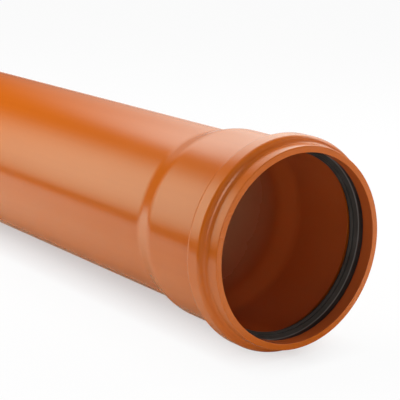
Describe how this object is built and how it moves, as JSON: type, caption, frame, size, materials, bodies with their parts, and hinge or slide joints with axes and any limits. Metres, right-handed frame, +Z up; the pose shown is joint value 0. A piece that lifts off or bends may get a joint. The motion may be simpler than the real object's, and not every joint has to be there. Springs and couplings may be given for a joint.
{
  "type": "socketed plastic drain pipe",
  "caption": "Orange-brown push-fit plastic drain pipe with a belled socket and a black rubber lip seal at one end and a chamfered plain spigot at the other.",
  "frame": {"origin": "on the floor plane, under the middle of the pipe's overall length", "axes": "+X along the pipe's axis, out of the socket's mouth; +Z up; the axis is level at the bead's radius above the floor plane"},
  "size_m": [0.568, 0.1284, 0.1284],
  "materials": {
    "pipe": "satin-gloss extruded plastic, orange-brown",
    "seal_ring": "smooth moulded black rubber"
  },
  "bodies": {
    "root": {"pipe": "pipe", "seal_ring": "seal_ring"}
  },
  "joints": []
}
